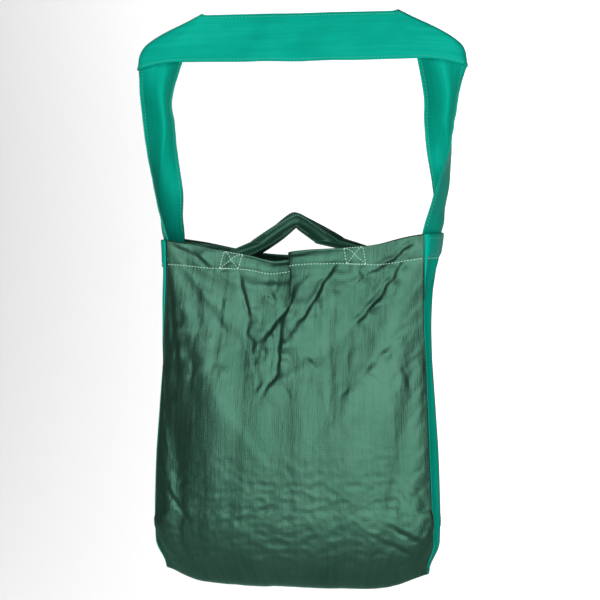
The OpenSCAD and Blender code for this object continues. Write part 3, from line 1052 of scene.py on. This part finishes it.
# %% Sew along a path
def resampled(points, normals, pitch):
    gaps = np.linalg.norm(np.diff(points, axis=0), axis=-1)
    run = np.concatenate([[0], np.cumsum(gaps)])
    count = max(int(run[-1] / pitch), 1)
    at = (np.arange(count) + 0.5) * run[-1] / count
    place = np.stack([np.interp(at, run, points[:, k]) for k in range(3)], -1)
    out = np.stack([np.interp(at, run, normals[:, k]) for k in range(3)], -1)
    ahead = np.stack([np.interp(at + pitch / 4, run, points[:, k]) for k in range(3)], -1)
    behind = np.stack([np.interp(at - pitch / 4, run, points[:, k]) for k in range(3)], -1)
    return place, unit(out), unit(ahead - behind), run[-1] / count


def sew(name, runs, pitch, material, fill=0.36):
    """One mesh of stitches along every run of (points, normals)."""
    points, faces = [], []
    for path, normals in runs:
        place, out, ahead, step = resampled(path, normals, pitch)
        across = unit(np.cross(out, ahead))
        out = np.cross(ahead, across)
        for p, n, a, c in zip(place, out, ahead, across):
            shape = np.stack([a * step * fill, c * THREAD, n * THREAD * 0.8])
            base = len(points) * len(bead_points)
            points.append(bead_points @ shape + p + n * THREAD * 0.35)
            faces.extend([[base + i for i in face] for face in bead_faces])
    mesh = bpy.data.meshes.new(name)
    mesh.from_pydata(np.concatenate(points).tolist(), [], faces)
    mesh.materials.append(material)
    obj = bpy.data.objects.new(name, mesh)
    bpy.context.collection.objects.link(obj)
    activate(obj)
    bpy.ops.object.shade_smooth()
    return obj


# %% Seams on the panel
PITCH = 4.6 * MM
pieces = []                # stitched piece, body it rides on, nodes that it replaces


def panel_run(x, v, side):
    return on_panel(np.asarray(x, float), np.asarray(v, float), 0.0, side)


hem_x = np.linspace(-SIDE + 3 * MM, SIDE - 3 * MM, 500)
wobble = 0.6 * MM * lattice_noise(hem_x / 0.03, 0 * hem_x, 91)
for side, word in ((-1, "front"), (1, "back")):
    obj = sew(word + "_hem_thread", [panel_run(hem_x, HEM_LINE + wobble, side)], PITCH, pale_thread)
    pieces.append((obj, "bag_body", [word + "_hem_stitch"]))
    for hand, way in (("left", -1), ("right", 1)):
        middle, half_w = STRAP_X * way, 14.5 * MM
        lean = -3 * MM * way
        top, low = 3 * MM, HEM_LINE
        corners = [(middle - half_w + lean, top), (middle + half_w + lean, top),
                   (middle + half_w - lean, low), (middle - half_w - lean, low)]
        order = [(0, 1), (1, 2), (2, 3), (3, 0), (0, 2), (1, 3)]
        runs = []
        for a, b in order:
            share = np.linspace(0, 1, 40)
            x = corners[a][0] * (1 - share) + corners[b][0] * share
            v = corners[a][1] * (1 - share) + corners[b][1] * share
            runs.append(panel_run(x, v, side))
        obj = sew(f"{word}_{hand}_box_thread", runs, 3.8 * MM, pale_thread)
        pieces.append((obj, "bag_body", [f"{word}_{hand}_box_stitch"]))
        seam_v = np.linspace(HEM_LINE + 3 * MM, CUT - TURN, 300)
        seam_x = np.full_like(seam_v, way * (SIDE - 2.6 * MM))
        obj = sew(f"{word}_{hand}_seam_thread", [panel_run(seam_x, seam_v, side)], PITCH, seam_thread)
        pieces.append((obj, "bag_body", [f"{word}_{hand}_seam_stitch"]))
print("stitched pieces", len(pieces))


# %% Seams on the gussets and sling
def grid_run(grid, rows, columns, lift, flip=1):
    """Points and normals where the given fractional rows and columns cross a grid."""
    out = unit(read_at(normals_of(grid) * flip, rows, columns))
    return read_at(grid, rows, columns) + out * lift, out


for way, word, grid in ((1, "right", right_grid), (-1, "left", left_grid)):
    columns = np.linspace(1, GUSSET_COLUMNS - 1, 120)
    for v, label, node_name in ((HEM_LINE, "hem", "hem_stitch"), (6 * MM, "sling_seam", "sling_seam_stitch")):
        rows = np.full_like(columns, v / CUT * GUSSET_ROWS)
        obj = sew(f"{word}_{label}_thread", [grid_run(grid, rows, columns, 0, way)], PITCH,
                  pale_thread if label == "hem" else teal_thread)
        pieces.append((obj, "bag_body", [f"{word}_{node_name}"]))
EDGE_IN = 4 * MM / SLING_W * SLING_COLUMNS
foot_row = float(np.searchsorted(sling_v[:, 0], SEWN + 8 * MM))
rows = np.linspace(foot_row, len(sling) - 1 - foot_row, 1500)
for word, column in (("lower", EDGE_IN), ("upper", SLING_COLUMNS - EDGE_IN)):
    columns = np.full_like(rows, column)
    runs = [grid_run(sling, rows, columns, SLING_T / 2),
            grid_run(sling, rows, columns, SLING_T / 2, -1)]
    obj = sew(f"sling_{word}_thread", runs, 5 * MM, teal_thread)
    pieces.append((obj, "sling_loop", [f"sling_{word}_edge_stitch"]))
for side, word, grid in ((-1, "front", front_grid), (1, "back", back_grid)):
    rows = np.linspace(0.2 * len(grid), 0.8 * len(grid), 400)
    runs = []
    for column in (1, STRAP_COLUMNS - 1):
        columns = np.full_like(rows, float(column))
        for face in (1, -1):
            runs.append(grid_run(grid, rows, columns, STRAP_T / 2, face))
    obj = sew(word + "_handle_thread", runs, 4 * MM, green_thread)
    pieces.append((obj, word + "_grip", [word + "_handle_stitch"]))
print("stitched pieces", len(pieces))

# %% [markdown]
# ## Tie the pieces to the model
# Each new piece replaces its plain nodes, and the bag's own pieces follow its body. The sling and the handles
# are cloth that crosses a joint; their place is only baked into their mesh.

# %% Replace the plain nodes, and let the bag's pieces ride on its body
for obj, nodes in ((bag_panel, ["main_panel"]), (right_gusset, ["right_gusset"]),
                   (left_gusset, ["left_gusset"])):
    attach(obj, "bag_body")
    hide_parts(*nodes)
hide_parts("sling", "left_sling_end", "right_sling_end")
straps = ((front_strap, "front"), (back_strap, "back"))
for strap, word in straps:
    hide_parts(word + "_handle", word + "_left_handle_end", word + "_right_handle_end")
for obj, body, nodes in pieces:
    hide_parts(*nodes)
    if body == "bag_body":
        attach(obj, body)
    elif body == "sling_loop":
        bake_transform(obj)
    else:
        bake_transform(obj)
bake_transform(sling_band)
for strap, word in straps:
    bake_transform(strap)

# %% [markdown]
# ## Flat sizes
# Cloth hardly stretches. The flat lengths of the sling and a strap are read from the model's solids and
# printed beside the lengths they are laid out at. The panel and gussets were cut as the shell that was hung.


# %% Lengths of the sling and straps
def flat_length(width, thick, *solids):
    """Length of strip in the model's solids: their volume over the strip's width and thickness."""
    total = 0
    for solid in solids:
        mesh = bmesh.new()
        mesh.from_mesh(bpy.data.objects[solid].data)
        total += abs(mesh.calc_volume())
        mesh.free()
    return total / (width * thick)


band_end_low, band_end_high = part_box("right_sling_end")
SLING_FLAT = flat_length(SLING_W, band_end_high.x - band_end_low.x,
                         "sling", "left_sling_end", "right_sling_end")
STRAP_FLAT = flat_length(STRAP_W, end_high.y - end_low.y,
                         "front_handle", "front_left_handle_end", "front_right_handle_end")
print("flat lengths: sling", round(SLING_FLAT, 3), "strap", round(STRAP_FLAT, 3))
print("laid out as: sling", round(SLING_L, 3), "strap", round(strap_length, 3))
